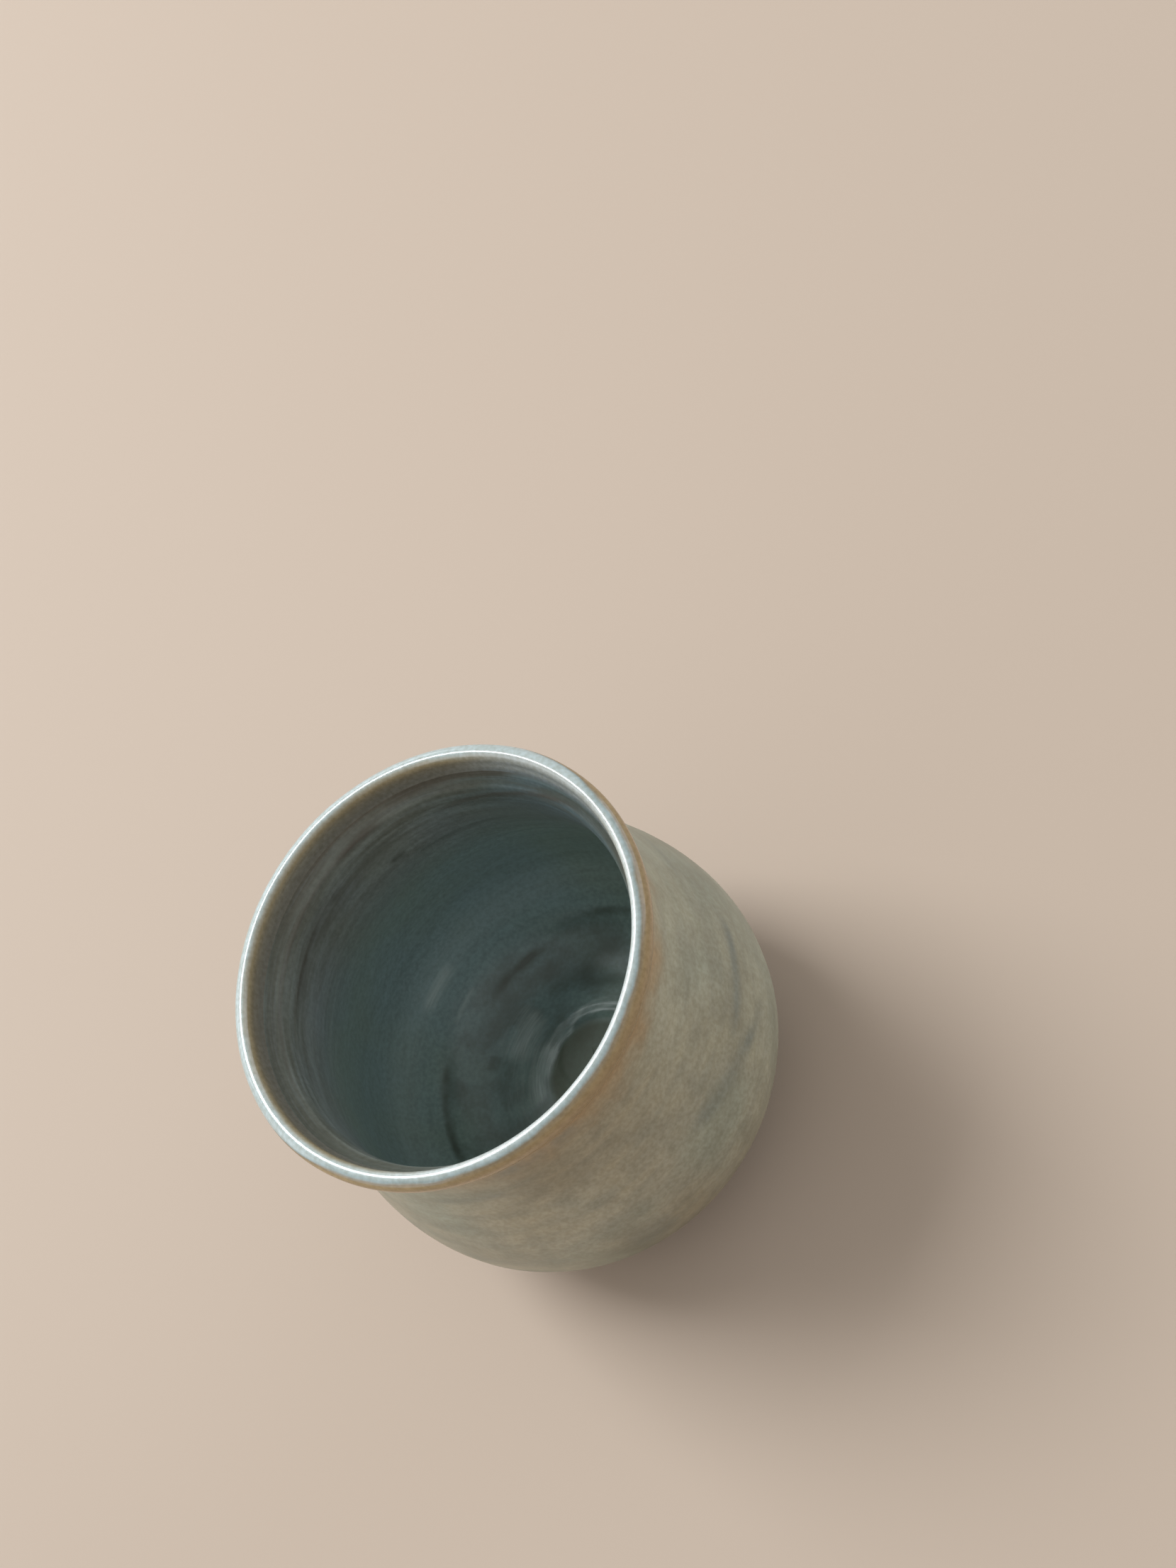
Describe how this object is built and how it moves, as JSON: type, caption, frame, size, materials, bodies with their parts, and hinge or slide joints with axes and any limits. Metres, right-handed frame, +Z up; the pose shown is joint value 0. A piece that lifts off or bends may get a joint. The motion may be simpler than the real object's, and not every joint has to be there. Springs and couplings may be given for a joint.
{
  "type": "tumbler cup",
  "caption": "Handleless wheel-thrown stoneware tumbler with a rolled lip, drawn-in waist, round belly and turned foot ring, glazed inside and out.",
  "frame": {"origin": "centre of the foot ring, on the plane that the cup stands on", "axes": "+Z up along the cup's axis, towards the mouth; the cup is round, so +X and +Y are free choices"},
  "size_m": [0.09, 0.09, 0.082],
  "materials": {
    "clay": "fired stoneware, bare and dry",
    "liner": "satin gloss teal-grey glaze",
    "outer_coat": "satin sage-grey glaze, mottled",
    "lip_coat": "gloss pale blue-grey glaze"
  },
  "bodies": {
    "root": {"clay_body": "clay", "liner_glaze": "liner", "outer_glaze": "outer_coat", "lip_glaze": "lip_coat"}
  },
  "joints": []
}
